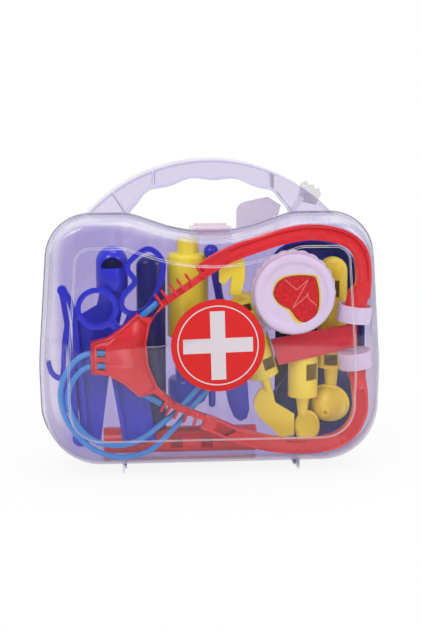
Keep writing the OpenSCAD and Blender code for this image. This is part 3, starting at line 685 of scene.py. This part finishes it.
def smooth_loop(corners: Sequence[Pair], steps: int) -> list[Pair]:
    """A closed curve through points in a plane, with a corner at the first one.

    Args:
        corners: The points.
        steps: Steps from each point to the next.

    Returns:
        The curve's points.
    """
    count = len(corners)

    def tangent(i: int, other: int) -> Vector:
        """Direction of the curve at a point, on the side of another point."""
        if i % count == 0:
            return (Vector(corners[other % count]) - Vector(corners[0])) * (1 if other > i else -1)
        return (Vector(corners[(i + 1) % count]) - Vector(corners[(i - 1) % count])) / 2

    curve = []
    for i in range(count):
        a, b = Vector(corners[i]), Vector(corners[(i + 1) % count])
        leave, arrive = tangent(i, i + 1), tangent(i + 1, i)
        for k in range(steps):
            t = k / steps
            spot = ((2 * t ** 3 - 3 * t ** 2 + 1) * a + (t ** 3 - 2 * t ** 2 + t) * leave
                    + (3 * t ** 2 - 2 * t ** 3) * b + (t ** 3 - t ** 2) * arrive)
            curve.append((spot.x, spot.y))
    return curve


def thick_line(
    name: str, route: Sequence[Pair], width: float, back: float, front: float
) -> bpy.types.Object:
    """A flat raised line that stands in a vertical plane, with one plate for each stretch.

    Args:
        name: The object's name.
        route: The line's points as x and z in millimetres.
        width: Its width in millimetres.
        back: y of its back in millimetres.
        front: y of its front in millimetres.

    Returns:
        The new object.
    """
    work = bmesh.new()
    for start, end in zip(route, route[1:]):
        a, b = Vector(start), Vector(end)
        along = (b - a).normalized() * width / 2
        out = Vector((along.y, -along.x))
        corners = [a - along + out, b + along + out, b + along - out, a - along - out]
        plate = slab("stretch", [tuple(spot) for spot in corners], back, front)
        work.from_mesh(plate.data)
        bpy.data.objects.remove(plate)
    mesh = bpy.data.meshes.new(name)
    work.to_mesh(mesh)
    work.free()
    return linked(name, mesh)


class NodeRecipe(NodeMaker):
    """A Geometry Nodes tree with named size inputs."""

    def __init__(self, name: str, sizes: dict[str, float]) -> None:
        """Start an empty tree.

        Args:
            name: The tree's name.
            sizes: The value of each named input, a whole number for a count.
        """
        self.tree = bpy.data.node_groups.new(name, "GeometryNodeTree")
        face = self.tree.interface
        face.new_socket("Geometry", in_out="INPUT", socket_type="NodeSocketGeometry")
        self.values: dict[str, float] = {}
        for label, value in sizes.items():
            kind = "NodeSocketInt" if isinstance(value, int) else "NodeSocketFloat"
            socket = face.new_socket(label, in_out="INPUT", socket_type=kind)
            self.values[socket.identifier] = value
        face.new_socket("Geometry", in_out="OUTPUT", socket_type="NodeSocketGeometry")
        self.given = self.tree.nodes.new("NodeGroupInput")
        self.result = self.tree.nodes.new("NodeGroupOutput")

    def size(self, label: str) -> bpy.types.NodeSocket:
        """The socket that brings one of the named sizes in."""
        return self.given.outputs[label]

    def close(self, geometry: bpy.types.NodeSocket, material: bpy.types.Material) -> None:
        """End the tree in real geometry with its material."""
        real = self.node("GeometryNodeRealizeInstances", None, {0: geometry})
        dressed = self.node(
            "GeometryNodeSetMaterial", None, {0: real.outputs[0], "Material": material}
        )
        self.tree.links.new(dressed.outputs[0], self.result.inputs[0])

    def grow(self, name: str) -> bpy.types.Object:
        """Run the tree and keep its result as a plain mesh object."""
        seed = linked(name + "_raw", bpy.data.meshes.new(name + "_raw"))
        growth = seed.modifiers.new("growth", "NODES")
        growth.node_group = self.tree
        for identifier, value in self.values.items():
            growth[identifier] = value
        return plain_mesh(seed, name)


# Sub-assemblies


@dataclass
class SubAssembly:
    """A group of pieces that belong together on the real product."""

    title: str = "pieces"
    made: list[str] = field(default_factory=list)
    segments: ClassVar[int] = 2
    crease: ClassVar[float] = 38

    def keep(
        self,
        piece: bpy.types.Object,
        finish: Palette,
        body: str = "case",
        nodes: Sequence[str] = (),
    ) -> bpy.types.Object:
        """Dress a piece, set it on its body and note it.

        Args:
            piece: The piece, in its place.
            finish: Its finish.
            body: The CAD body it rides on.
            nodes: The CAD nodes it stands for.

        Returns:
            The piece.
        """
        piece.data.materials.clear()
        piece.data.materials.append(finish.value.material())
        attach(piece, body)
        if nodes:
            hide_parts(*nodes)
        self.made.append(piece.name)
        LOG.info("%s: %s on %s", self.title, piece.name, body)
        return piece

    def copy(
        self, node: str, finish: Palette, bevel: float, body: str = "case"
    ) -> bpy.types.Object:
        """Keep a softened copy of a CAD node, which it stands for.

        Args:
            node: The CAD node.
            finish: The copy's finish.
            bevel: Radius of its edges in millimetres.
            body: The CAD body it rides on.

        Returns:
            The copy.
        """
        name = node + "_look"
        raw = linked(name + "_raw", merged_mesh(node, name))
        piece = softened(raw, name, bevel, self.segments, self.crease, Miter.ARC)
        return self.keep(piece, finish, body, (node,))


@dataclass
class CarryCase(SubAssembly):
    """The two shells, their hinges, the latch and the sticker."""

    title: str = "case"
    corners: tuple[Pair, ...] = (
        (128.5, 7.2), (130.2, 85.0), (121.5, 198.5), (61.0, 198.5), (0.0, 177.0), (-61.0, 198.5),
        (-121.5, 198.5), (-130.2, 85.0), (-128.5, 7.2),
    )
    radii: tuple[float, ...] = (46, 220, 34, 40, -120, 40, 34, 220, 46)
    front: float = -28.3
    arc_steps: int = 24
    window_inset: float = 22.0
    window_step: float = 1.5
    highlight_gap: float = 1.2
    highlight_r: float = 0.19
    foot_highlight_r: float = 0.22
    lip_mid: float = 1.05
    lip_inset: float = 0.15
    lip_r: float = 0.4

    def outline(self, inset: float) -> list[Pair]:
        """The case's outline from the front, moved in.

        Args:
            inset: Distance that it is moved in, in millimetres.

        Returns:
            Its points as x and z in millimetres.
        """
        spots = [Vector(corner) for corner in self.corners]
        points = []
        for i, spot in enumerate(spots):
            way_in = (spot - spots[i - 1]).normalized()
            way_out = (spots[(i + 1) % len(spots)] - spot).normalized()
            before, after = Vector((-way_in.y, way_in.x)), Vector((-way_out.y, way_out.x))
            radius = self.radii[i] - inset
            centre = spot + (inset + radius) * (before + after) / (1 + before.dot(after))
            start = math.atan2(before.y, before.x)
            swing = math.atan2(before.x * after.y - before.y * after.x, before.dot(after))
            for k in range(self.arc_steps + 1):
                a = start + swing * k / self.arc_steps
                points.append((centre.x - radius * math.cos(a), centre.y - radius * math.sin(a)))
        return points

    def bead(self, name: str, inset: float, depth: float, radius: float) -> bpy.types.Object:
        """A thin line that follows the case's outline; it carries the painted highlights round the
        window and the painted seam shadows.

        Args:
            name: The line's name.
            inset: Its distance from the outline in millimetres.
            depth: Its y in millimetres.
            radius: Its radius in millimetres.

        Returns:
            The line as a mesh.
        """
        curve = bpy.data.curves.new(name + "_raw", "CURVE")
        curve.dimensions = "3D"
        curve.bevel_depth = radius * MM
        curve.bevel_resolution = 2
        spline = curve.splines.new("POLY")
        points = self.outline(inset)
        spline.points.add(len(points) - 1)
        for spot, (x, z) in zip(spline.points, points):
            spot.co = (x * MM, depth * MM, z * MM, 1.0)
        spline.use_cyclic_u = True
        made = plain_mesh(linked(name + "_raw", curve), name)
        made.data.shade_smooth()
        return made

    def lines(self) -> None:
        """The pale lines round the window, painted highlights of its step, and the grey lines at
        the seam, painted shadow of the gap between the shells.
        """
        # Two pale lines, painted highlights on the top and the foot of the window's step.
        face = self.front - self.window_step
        line = self.bead("window_line", self.window_inset + self.highlight_gap, face, self.highlight_r)
        self.keep(line, Palette.STEP_HIGHLIGHT, "lid")
        foot = self.bead("window_foot", self.window_inset, self.front, self.foot_highlight_r)
        self.keep(foot, Palette.STEP_HIGHLIGHT, "lid")
        # Grey beads on both lips: painted shadow of the seam gap.
        for name, depth, body in (
            ("lid_edge", -self.lip_mid, "lid"), ("case_edge", self.lip_mid, "case")
        ):
            self.keep(self.bead(name, self.lip_inset, depth, self.lip_r), Palette.SEAM, body)

    def build(self) -> None:
        """Make every piece of the case."""
        self.copy("rear_shell", Palette.REAR, 0.3)
        self.copy("front_shell", Palette.FRONT, 0.3, "lid")
        self.copy("latch", Palette.LATCH, 0.25, "latch")
        self.copy("latch_pin", Palette.PIN, 0.1, "lid")
        for side in ("left", "right"):
            self.copy(f"hinge_pin_{side}", Palette.PIN, 0.1)
        self.copy("rear_tab", Palette.FILM, 0.2)
        self.copy("edge_tab", Palette.CLIP, 0.2)
        self.copy("sticker_disc", Palette.LABEL, 0.05, "lid")
        self.copy("sticker_emblem", Palette.PRINT, 0, "lid")
        self.lines()


@dataclass
class Stethoscope(SubAssembly):
    """Frame, ear cups, tubes and the tubes' connector."""

    title: str = "stethoscope"
    tube_d: float = 4.2
    tube_y: float = -20.8
    sink: Pair = (1.5, 4.5)
    deep: float = 6.0
    window: Pair = (-86.6, -80.0)
    end_swell: float = 0.4
    end_cut: float = 0.2

    def depth(self, level: int) -> float:
        """Depth of a route's point in millimetres: level 0 in the loop to 3 behind the arm."""
        return self.tube_y + (0.0, *self.sink, self.deep)[level]

    def outer_route(self) -> list[Point]:
        """Points of the outer tube, end to end."""
        flat = [
            (-90.9, 96.5, 0), (-98, 94, 0), (-105.5, 87.5, 0), (-111.5, 77, 0), (-114, 65, 0),
            (-112.5, 53, 0), (-107.5, 41, 0), (-99.5, 30, 0), (-89, 21.5, 0), (-78, 17, 0),
            (-67.5, 15.4, 0), (-56, 17, 0), (-45, 21.5, 1), (-35, 29.5, 2), (-25, 40, 3),
            (-14, 53, 3), (-2, 66.5, 3), (10, 79.5, 3), (22, 93, 3), (35.6, 107, 3),
        ]
        return [(x, self.depth(level), z) for x, z, level in flat]

    def inner_route(self) -> list[Point]:
        """Points of the inner tube, end to end."""
        flat = [
            (-90.9, 86.7, 0), (-97.5, 83.5, 0), (-103.5, 77, 0), (-107.5, 68, 0), (-108.4, 58, 0),
            (-105.4, 48.2, 0), (-100.2, 39, 0), (-93, 31, 0), (-83, 26.3, 0), (-72, 24.6, 0),
            (-61, 26.2, 0), (-50.5, 31, 1), (-41, 37.5, 2), (-31, 45.5, 3), (-19, 57, 3),
            (-7, 71, 3), (5, 84.5, 3), (17, 97.8, 3), (31, 111.2, 3),
        ]
        return [(x, self.depth(level), z) for x, z, level in flat]

    def cords(self) -> None:
        """The two free listening tubes."""
        for node, route in (("tube_outer", self.outer_route()), ("tube_inner", self.inner_route())):
            curve = bpy.data.curves.new(node + "_look", "CURVE")
            curve.dimensions = "3D"
            curve.bevel_depth = self.tube_d / 2 * MM
            curve.bevel_resolution = 6
            curve.resolution_u = 8
            curve.use_fill_caps = True
            spline = curve.splines.new("BEZIER")
            spline.bezier_points.add(len(route) - 1)
            last = len(route) - 1
            places = [Vector(p) * MM for p in route]
            for i, spot in enumerate(spline.bezier_points):
                along = (places[min(i + 1, last)] - places[max(i - 1, 0)]) / 6
                spot.co = places[i]
                spot.handle_left = places[i] - along
                spot.handle_right = places[i] + along
            tube = linked(node + "_look", curve)
            self.keep(tube, Palette.TUBE, "case", (node,))
            length = self.curve_length(spline)

    @staticmethod
    def curve_length(spline: bpy.types.Spline, steps: int = 12) -> float:
        """Length of a Bezier spline in metres, summed over the steps of each stretch."""
        total = 0.0
        points = spline.bezier_points
        for a, b in zip(points, list(points)[1:]):
            before = a.co
            for k in range(1, steps + 1):
                t = k / steps
                here = ((1 - t) ** 3 * a.co + 3 * t * (1 - t) ** 2 * a.handle_right
                        + 3 * t * t * (1 - t) * b.handle_left + t ** 3 * b.co)
                total += (here - before).length
                before = here
        return total

    def tube_end(self, end: str, height: float) -> bpy.types.Object:
        """The end of a tube, seen in its window in the yoke.

        Args:
            end: The tube's name.
            height: z of its middle in millimetres.

        Returns:
            The piece.
        """
        low, high = self.window
        r, length, cut = self.tube_d / 2 + self.end_swell, high - low, self.end_cut
        profile = [
            (0, 0), (r - cut, 0), (r, cut), (r, length - cut), (r - cut, length), (0, length)
        ]
        made = lathe(f"tube_end_{end}", profile, 40)
        place = Matrix.Translation(Vector((low, self.tube_y, height)) * MM)
        made.data.transform(place @ Matrix.Rotation(math.pi / 2, 4, "Y"))
        return shaded(made, 50)

    def build(self) -> None:
        """Make every piece but the two free tubes."""
        self.copy("steth_frame", Palette.RED, 0.5)
        for end in ("upper", "lower"):
            self.copy(f"stub_tube_{end}", Palette.STUB, 0.1)
            self.copy(f"ear_cup_{end}", Palette.WHITE, 0.5)
        self.copy("tube_connector", Palette.WHITE, 0.4)
        for end, route in (("outer", self.outer_route()), ("inner", self.inner_route())):
            self.keep(self.tube_end(end, route[0][2]), Palette.STUB)


@dataclass
class ChestPiece(SubAssembly):
    """Scalloped disc with a raised face and a heart label.

    The label's layers are given by their distance in front of its back, in millimetres.
    """

    title: str = "chest piece"
    centre: Pair = (60.8, 139.6)
    back: float = -12.0
    disc_t: float = 7.6
    disc_r: float = 29.2
    ring_r: float = 25.5
    lobes: int = 24
    lobe_r: float = 6.5
    lobe_steps: int = 48
    disc_steps: int = 96
    face_r: float = 30.5
    face_t: float = 8.3
    label_back: float = -26.12
    label_foot: float = 0.1
    border_top: float = 0.16
    outline_top: float = 0.22
    heart_top: float = 0.28
    pulse_foot: float = 0.2
    pulse_top: float = 0.34
    pulse_width: float = 0.45
    outline_out: float = 0.45
    heart_in: float = 0.35
    heart_middle: Pair = (63.0, 137.5)
    curve_steps: int = 5
    gold: tuple[Pair, ...] = (
        (77.2, 153.5), (74.4, 154.3), (69.8, 154.9), (63.2, 155.2), (56.7, 154.5), (50.8, 152.9),
        (46.6, 149.9), (44.5, 144.9), (44.0, 140.2), (45.1, 136.5), (47.7, 132.8), (51.7, 129.8),
        (55.4, 127.8), (57.4, 124.4), (60.4, 120.1), (64.4, 117.0), (68.7, 116.4), (73.0, 117.7),
        (76.6, 121.1), (78.8, 125.5), (80.0, 131.5), (80.2, 138.2), (79.5, 144.9), (78.4, 150.6),
    )
    face: tuple[Pair, ...] = (
        (75.6, 152.2), (72.5, 153.2), (65.9, 153.7), (59.3, 153.4), (52.8, 151.9), (48.2, 148.9),
        (46.0, 144.9), (45.0, 140.9), (46.0, 137.5), (49.0, 133.5), (53.0, 130.8), (56.7, 129.2),
        (59.0, 126.5), (62.0, 122.1), (65.7, 119.4), (70.3, 119.1), (74.2, 121.1), (76.8, 124.8),
        (78.4, 130.2), (78.6, 136.2), (78.2, 142.2), (77.0, 148.2),
    )
    pulse: tuple[Pair, ...] = (
        (53.5, 150.6), (62.1, 143.2), (70.5, 150.6), (59.3, 129.5), (69.4, 138.2), (70.3, 140.6),
        (70.6, 136.9), (76.7, 131.5),
    )

    def scallops(self) -> bpy.types.Object:
        """The disc with its ring of lobes, grown in Geometry Nodes."""
        sizes = {
            "Disc radius": self.disc_r * MM, "Ring radius": self.ring_r * MM,
            "Lobe radius": self.lobe_r * MM, "Thickness": self.disc_t * MM, "Lobes": self.lobes,
        }
        recipe = NodeRecipe("scalloped_disc", sizes)
        circle = recipe.node(
            "GeometryNodeMeshCircle", None,
            {"Vertices": recipe.size("Lobes"), "Radius": recipe.size("Ring radius")},
        )
        lobe = recipe.node(
            "GeometryNodeMeshCylinder", None,
            {"Vertices": self.lobe_steps, "Radius": recipe.size("Lobe radius"),
             "Depth": recipe.size("Thickness")},
        )
        ring = recipe.node(
            "GeometryNodeInstanceOnPoints", None,
            {"Points": circle.outputs[0], "Instance": lobe.outputs[0]},
        )
        disc = recipe.node(
            "GeometryNodeMeshCylinder", None,
            {"Vertices": self.disc_steps, "Radius": recipe.size("Disc radius"),
             "Depth": recipe.size("Thickness")},
        )
        both = recipe.node("GeometryNodeJoinGeometry")
        for part in (disc, ring):
            recipe.tree.links.new(part.outputs[0], both.inputs[0])
        recipe.close(both.outputs[0], Palette.WHITE.value.material())
        made = recipe.grow("chest_bell_look")
        made.data.transform(self.stand(self.back - self.disc_t / 2))
        return softened(made, made.name, 0.5, 3, 50, Miter.SHARP)

    def stand(self, depth: float) -> Matrix:
        """Place of something made flat round the origin, turned to face the front."""
        x, z = self.centre
        place = Matrix.Translation(Vector((x, depth, z)) * MM)
        return place @ Matrix.Rotation(math.pi / 2, 4, "X")

    def raised_face(self) -> bpy.types.Object:
        """The turned front of the chest piece with its rounded rim."""
        r, t = self.face_r, self.face_t
        profile = [
            (0.0, 0.0), (r - 1.2, 0.0), (r - 0.3, 0.5), (r, 1.4), (r, t - 2.6), (r - 0.3, t - 1.5),
            (r - 1.1, t - 0.6), (r - 2.4, t - 0.1), (r - 3.8, t), (r - 5.2, t - 0.2),
            (r - 6.4, t - 0.7), (r - 7.4, t - 1.4), (r - 8.4, t - 1.75), (r - 10.0, t - 1.8),
            (0.0, t - 1.8),
        ]
        made = lathe("chest_ring_look", profile, 128)
        made.data.transform(self.stand(self.back - self.disc_t))
        return shaded(made, 60)

    def layer(self, name: str, points: Sequence[Pair], foot: float, top: float) -> bpy.types.Object:
        """One printed layer of the label.

        Args:
            name: The layer's name.
            points: Its outline, with the heart's corner first.
            foot: Distance of its back in front of the label's back, in millimetres.
            top: Distance of its front in front of the label's back, in millimetres.

        Returns:
            The layer.
        """
        level = self.label_back
        return slab(name, smooth_loop(points, self.curve_steps), level - foot, level - top)

    def grown(self, by: float) -> list[Pair]:
        """The heart's points, moved away from its middle by a distance in millimetres."""
        middle = Vector(self.heart_middle)
        outward = [(Vector(spot), (Vector(spot) - middle).normalized()) for spot in self.face]
        return [tuple(spot + way * by) for spot, way in outward]

    def build(self) -> None:
        """Make the disc, the face and the label's layers."""
        self.keep(self.scallops(), Palette.WHITE, "case", ("chest_bell",))
        self.keep(self.raised_face(), Palette.WHITE, "case", ("chest_ring",))
        border = self.layer("heart_border", self.gold, 0.0, self.border_top)
        self.keep(border, Palette.GOLD, "case", ("heart_label",))
        wide, narrow = self.grown(self.outline_out), self.grown(-self.heart_in)
        outline = self.layer("heart_outline", wide, self.label_foot, self.outline_top)
        self.keep(outline, Palette.OUTLINE)
        heart = self.layer("heart_face", narrow, self.label_foot, self.heart_top)
        self.keep(heart, Palette.HEART)
        foot, top = self.label_back - self.pulse_foot, self.label_back - self.pulse_top
        line = thick_line("heart_pulse", self.pulse, self.pulse_width, foot, top)
        self.keep(line, Palette.PULSE)


@dataclass
class Tools(SubAssembly):
    """The loose play tools packed in the case. The tie is round, stretched to the grip's halves."""

    title: str = "tools"
    grip_at: Point = (-45.0, 4.2, 96.5)
    grip_half: Pair = (11.0, 8.0)

    def tie(self) -> bpy.types.Object:
        """The white tie round the hammer's handle."""
        profile = [(0, -0.5), (1, -0.5), (1.06, -0.2), (1.06, 0.2), (1, 0.5), (0, 0.5)]
        made = lathe("grip_tie", profile, 64)
        place = Matrix.Translation(Vector(self.grip_at) * MM)
        made.data.transform(place @ Matrix.Diagonal((*self.grip_half, 1, 1)))
        return made

    def build(self) -> None:
        """Make every tool."""
        self.copy("syringe_barrel", Palette.YELLOW, 0.5)
        self.copy("syringe_plunger", Palette.BLUE, 0.4, "plunger")
        self.copy("scissor_front", Palette.BLUE, 0.6, "scissor_half")
        self.copy("scissor_back", Palette.BLUE, 0.6)
        for node in (
            "scissor_rivet", "tweezers", "otoscope", "hook_probe", "thermometer", "ball_probe",
            "mirror_tray",
        ):
            self.copy(node, Palette.BLUE, 0.5)
        self.copy("hammer_handle", Palette.NAVY, 0.5)
        self.copy("kidney_dish", Palette.DISH, 0.3)
        self.copy("hammer_head", Palette.RED, 0.5)
        for node in ("spatula_tool", "spoon_tool", "ball_tool", "yellow_clip"):
            self.copy(node, Palette.YELLOW, 0.5)
        self.copy("arm_strap", Palette.STRAP, 0.3)
        self.keep(self.tie(), Palette.TIE)


# Studio


@dataclass
class Studio:
    """Camera, lamps, floor and world."""

    azimuth: float = -4.5
    elevation: float = 11.35
    distance: float = 1.0
    aim: Point = (0.0, 0.0, 0.1195)
    lit: Point = (0.0, 0.0, 0.11)
    lens: float = 75.0
    floor_front: float = -0.52
    floor_side: float = 2.4
    floor_back: float = 3.0
    floor_grey: float = 0.82
    shadow_share: float = 0.12
    shadow_fade: Pair = (0.13, 0.32)
    room: float = 0.05
    ambient: float = 0.62

    def camera(self) -> None:
        """The camera at the photograph's viewing angle."""
        data = bpy.data.cameras.new("camera")
        data.lens = self.lens
        data.sensor_width = 36
        data.clip_start = 0.01
        made = linked("camera", data)
        turn, lift = math.radians(self.azimuth), math.radians(self.elevation)
        level = Vector((math.sin(turn), -math.cos(turn), 0)) * math.cos(lift)
        back = level + Vector((0, 0, math.sin(lift)))
        made.location = Vector(self.aim) + self.distance * back
        made.rotation_mode = "QUATERNION"
        made.rotation_quaternion = (-back).to_track_quat("-Z", "Y")
        bpy.context.scene.camera = made

    def lamp(self, name: str, place: Point, size: float, power: float) -> None:
        """One square soft lamp that faces the case.

        Args:
            name: The lamp's name.
            place: Its middle in metres.
            size: Its side in metres.
            power: Its power in watts.
        """
        data = bpy.data.lights.new(name, "AREA")
        data.shape = "SQUARE"
        data.size = size
        data.energy = power
        made = linked(name, data)
        made.location = place
        made.rotation_mode = "QUATERNION"
        made.rotation_quaternion = (Vector(self.lit) - Vector(place)).to_track_quat("-Z", "Y")

    def lamps(self) -> None:
        """Two soft lamps in front, one above."""
        self.lamp("key", (-0.75, -1.0, 1.15), 0.7, 9.8)
        self.lamp("fill", (0.95, -0.95, 0.8), 0.8, 6.6)
        self.lamp("top", (0.1, 0.15, 1.5), 0.9, 7.0)

    def floor(self) -> None:
        """A pale table. The camera sees mostly the white behind it, so only the shadow shows."""
        side, front, back = self.floor_side, self.floor_front, self.floor_back
        corners = [(-side, front, 0), (side, front, 0), (side, back, 0), (-side, back, 0)]
        made = mesh_piece("floor", corners, [(0, 1, 2, 3)])
        paint = bpy.data.materials.new("table")
        paint.use_nodes = True
        tree = ShaderTree(paint.node_tree)
        rays = tree.node("ShaderNodeLightPath")
        place = tree.node("ShaderNodeTexCoord").outputs["Object"]
        away = tree.node("ShaderNodeVectorMath", {"operation": "LENGTH"}, {0: place})
        faded = self.shadow_share * tree.out(away, "Value").step(*self.shadow_fade)
        seen = tree.out(rays, "Is Camera Ray") * (1 - self.shadow_share + faded)
        matt = tree.node("ShaderNodeBsdfDiffuse", None, {"Color": (self.floor_grey,) * 3})
        gap = tree.node("ShaderNodeBsdfTransparent")
        both = tree.node(
            "ShaderNodeMixShader", None, {0: seen, 1: matt.outputs[0], 2: gap.outputs[0]}
        )
        tree.node("ShaderNodeOutputMaterial", None, {"Surface": both.outputs[0]})
        made.data.materials.append(paint)

    def world(self) -> None:
        """White where it is seen, soft light elsewhere, and a dim room behind the camera."""
        made = bpy.data.worlds.new("studio")
        bpy.context.scene.world = made
        made.use_nodes = True
        tree = ShaderTree(made.node_tree)
        rays = tree.node("ShaderNodeLightPath")
        way = tree.node("ShaderNodeTexCoord").outputs["Generated"]
        parts = tree.node("ShaderNodeSeparateXYZ", None, {0: way})
        behind = tree.out(parts, 1).step(-0.15, 0.15)
        seen = tree.math(
            "MAXIMUM", tree.out(rays, "Is Camera Ray"), tree.out(rays, "Is Transmission Ray")
        )
        glossy = tree.out(rays, "Is Glossy Ray")
        level = self.ambient + (behind * (1 - self.room) + self.room - self.ambient) * glossy
        level = level + (1 - level) * seen
        light = tree.node("ShaderNodeBackground", None, {"Color": (1, 1, 1), "Strength": level})
        tree.node("ShaderNodeOutputWorld", None, {"Surface": light.outputs[0]})

    def build(self) -> None:
        """Set the picture's look, then the lamps, the floor and the world."""
        bpy.context.scene.view_settings.view_transform = "Standard"
        bpy.context.scene.cycles.transparent_max_bounces = 32
        self.lamps()
        self.floor()
        self.world()


def main() -> None:
    """Build the scene around the frame."""
    logging.basicConfig(level=logging.INFO, format="%(message)s")
    studio = Studio()
    studio.camera()
    stethoscope = Stethoscope()
    stethoscope.cords()
    studio.build()
    parts = (CarryCase(), stethoscope, ChestPiece(), Tools())
    for part in parts:
        part.build()
    LOG.info("%d pieces in all", sum(len(part.made) for part in parts))


if __name__ == "__main__":
    main()
